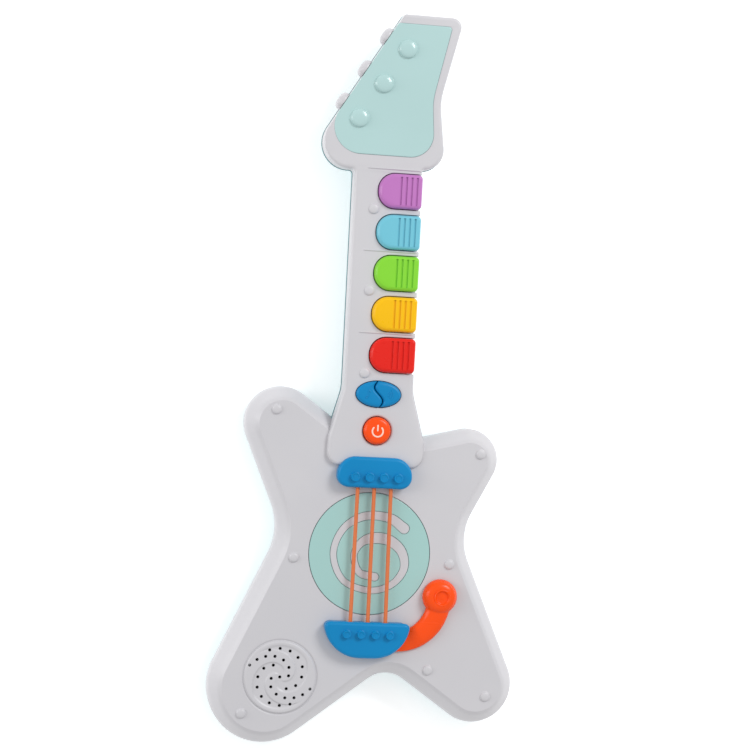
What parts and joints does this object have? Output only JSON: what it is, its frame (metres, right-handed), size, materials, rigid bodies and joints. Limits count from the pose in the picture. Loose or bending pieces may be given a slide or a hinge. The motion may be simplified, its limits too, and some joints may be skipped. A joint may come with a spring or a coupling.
{
  "type": "toy electric guitar",
  "caption": "Toddler electric guitar toy with a star-shaped body, coloured neck keys, a spiral sound disc, elastic strings between two bridges and an orange whammy lever.",
  "frame": {"origin": "middle of the footprint, on the surface that the toy lies on when it rests on its back", "axes": "+X to the right of the guitar seen from the front, +Y up the neck to the headstock, +Z out of the front"},
  "size_m": [0.213, 0.5068, 0.0456],
  "materials": {
    "white_shell": "satin white ABS with a soft sheen",
    "teal_shell": "satin grey-teal ABS",
    "aqua_plate": "glossy pale aqua plastic",
    "aqua_window": "slightly translucent pale aqua plastic",
    "blue_plastic": "satin blue plastic",
    "orange_plastic": "glossy orange plastic",
    "string_rubber": "soft orange elastic cord",
    "key_purple_plastic": "satin purple plastic",
    "key_sky_plastic": "satin sky blue plastic",
    "key_green_plastic": "satin green plastic",
    "key_yellow_plastic": "satin yellow plastic",
    "key_red_plastic": "satin red plastic",
    "screw_steel": "plated steel",
    "speaker_steel": "pressed steel",
    "speaker_magnet_iron": "dark ferrite with a plated cup",
    "speaker_paper": "black paper cone",
    "circuit_board": "green solder mask",
    "contact_silicone": "translucent grey silicone",
    "light_lens": "clear lamp lens",
    "ribbon": "grey flat cable",
    "wire_red": "red insulation",
    "wire_black": "black insulation",
    "battery_cell": "plain printed metal jacket with no marks",
    "contact_steel": "nickel-plated spring steel"
  },
  "bodies": {
    "guitar": {"body_front": "white_shell", "neck_front": "white_shell", "spiral_trim": "white_shell", "tuner_knob_1": "white_shell", "tuner_knob_2": "white_shell", "tuner_knob_3": "white_shell", "body_back": "teal_shell", "neck_back": "teal_shell", "headstock_plate": "aqua_plate", "sound_disc": "aqua_window", "upper_bridge": "blue_plastic", "lower_bridge": "blue_plastic", "lever_screw": "screw_steel", "case_screw_1": "screw_steel", "case_screw_2": "screw_steel", "case_screw_3": "screw_steel", "case_screw_4": "screw_steel", "case_screw_5": "screw_steel", "case_screw_6": "screw_steel", "tang_screw_1": "screw_steel", "tang_screw_2": "screw_steel", "neck_screw_1": "screw_steel", "neck_screw_2": "screw_steel", "speaker_frame": "speaker_steel", "speaker_magnet": "speaker_magnet_iron", "speaker_cone": "speaker_paper", "main_board": "circuit_board", "neck_board": "circuit_board", "key_contact_pad": "contact_silicone", "button_contact_pad": "contact_silicone", "light_1": "light_lens", "light_2": "light_lens", "light_3": "light_lens", "ribbon_cable": "ribbon", "speaker_wire_1": "wire_red", "speaker_wire_2": "wire_black", "battery_1": "battery_cell", "battery_2": "battery_cell", "battery_3": "battery_cell", "contact_single_left": "contact_steel", "contact_pair_left": "contact_steel", "contact_pair_right": "contact_steel", "contact_single_right": "contact_steel"},
    "key_purple": {"key_purple": "key_purple_plastic"},
    "key_sky": {"key_sky": "key_sky_plastic"},
    "key_green": {"key_green": "key_green_plastic"},
    "key_yellow": {"key_yellow": "key_yellow_plastic"},
    "key_red": {"key_red": "key_red_plastic"},
    "mode_button_left": {"mode_button_left": "blue_plastic"},
    "mode_button_right": {"mode_button_right": "blue_plastic"},
    "power_button": {"power_button": "orange_plastic"},
    "whammy_lever": {"whammy_lever": "orange_plastic"},
    "string_left_lower": {"string_left_lower": "string_rubber"},
    "string_left_upper": {"string_left_upper": "string_rubber"},
    "string_middle_lower": {"string_middle_lower": "string_rubber"},
    "string_middle_upper": {"string_middle_upper": "string_rubber"},
    "string_right_lower": {"string_right_lower": "string_rubber"},
    "string_right_upper": {"string_right_upper": "string_rubber"},
    "battery_door": {"battery_door": "teal_shell", "door_screw": "screw_steel"}
  },
  "joints": [
    {"name": "key_purple_press", "type": "slide", "parent": "guitar", "child": "key_purple", "axis": [0, 0, -1], "range_m": [0, 0.0025], "stiffness_N_per_m": 600},
    {"name": "key_sky_press", "type": "slide", "parent": "guitar", "child": "key_sky", "axis": [0, 0, -1], "range_m": [0, 0.0025], "stiffness_N_per_m": 600},
    {"name": "key_green_press", "type": "slide", "parent": "guitar", "child": "key_green", "axis": [0, 0, -1], "range_m": [0, 0.0025], "stiffness_N_per_m": 600},
    {"name": "key_yellow_press", "type": "slide", "parent": "guitar", "child": "key_yellow", "axis": [0, 0, -1], "range_m": [0, 0.0025], "stiffness_N_per_m": 600},
    {"name": "key_red_press", "type": "slide", "parent": "guitar", "child": "key_red", "axis": [0, 0, -1], "range_m": [0, 0.0025], "stiffness_N_per_m": 600},
    {"name": "mode_button_left_press", "type": "slide", "parent": "guitar", "child": "mode_button_left", "axis": [0, 0, -1], "range_m": [0, 0.0015], "stiffness_N_per_m": 700},
    {"name": "mode_button_right_press", "type": "slide", "parent": "guitar", "child": "mode_button_right", "axis": [0, 0, -1], "range_m": [0, 0.0015], "stiffness_N_per_m": 700},
    {"name": "power_button_press", "type": "slide", "parent": "guitar", "child": "power_button", "axis": [0, 0, -1], "range_m": [0, 0.0015], "stiffness_N_per_m": 700},
    {"name": "whammy_lever_swing", "type": "hinge", "parent": "guitar", "child": "whammy_lever", "pos_m": [0.01358, -0.17645, 0.036], "axis": [0, 0, 1], "range_deg": [-12, 12], "stiffness_Nm_per_rad": 0.25},
    {"name": "string_left_pluck", "type": "hinge", "parent": "guitar", "child": "string_left_lower", "pos_m": [-0.01182, -0.16945, 0.0384], "axis": [0, 0, 1], "range_deg": [-4, 4], "stiffness_Nm_per_rad": 0.02},
    {"name": "string_left_bend", "type": "hinge", "parent": "string_left_lower", "child": "string_left_upper", "pos_m": [-0.01177, -0.1192, 0.0384], "axis": [0, 0, 1], "range_deg": [-8.5, 8.5]},
    {"name": "string_middle_pluck", "type": "hinge", "parent": "guitar", "child": "string_middle_lower", "pos_m": [0.00028, -0.16945, 0.0384], "axis": [0, 0, 1], "range_deg": [-4, 4], "stiffness_Nm_per_rad": 0.02},
    {"name": "string_middle_bend", "type": "hinge", "parent": "string_middle_lower", "child": "string_middle_upper", "pos_m": [-0.00002, -0.1192, 0.0384], "axis": [0, 0, 1], "range_deg": [-8.5, 8.5]},
    {"name": "string_right_pluck", "type": "hinge", "parent": "guitar", "child": "string_right_lower", "pos_m": [0.01258, -0.16945, 0.0384], "axis": [0, 0, 1], "range_deg": [-4, 4], "stiffness_Nm_per_rad": 0.02},
    {"name": "string_right_bend", "type": "hinge", "parent": "string_right_lower", "child": "string_right_upper", "pos_m": [0.01193, -0.1192, 0.0384], "axis": [0, 0, 1], "range_deg": [-8.5, 8.5]},
    {"name": "battery_door_open", "type": "hinge", "parent": "guitar", "child": "battery_door", "pos_m": [0.00158, -0.11796, 0.0002], "axis": [1, 0, 0], "range_deg": [0, 60]}
  ],
  "couplings": [
    {"joint": "string_left_bend", "follows": "string_left_pluck", "ratio": -2},
    {"joint": "string_middle_bend", "follows": "string_middle_pluck", "ratio": -2},
    {"joint": "string_right_bend", "follows": "string_right_pluck", "ratio": -2}
  ]
}
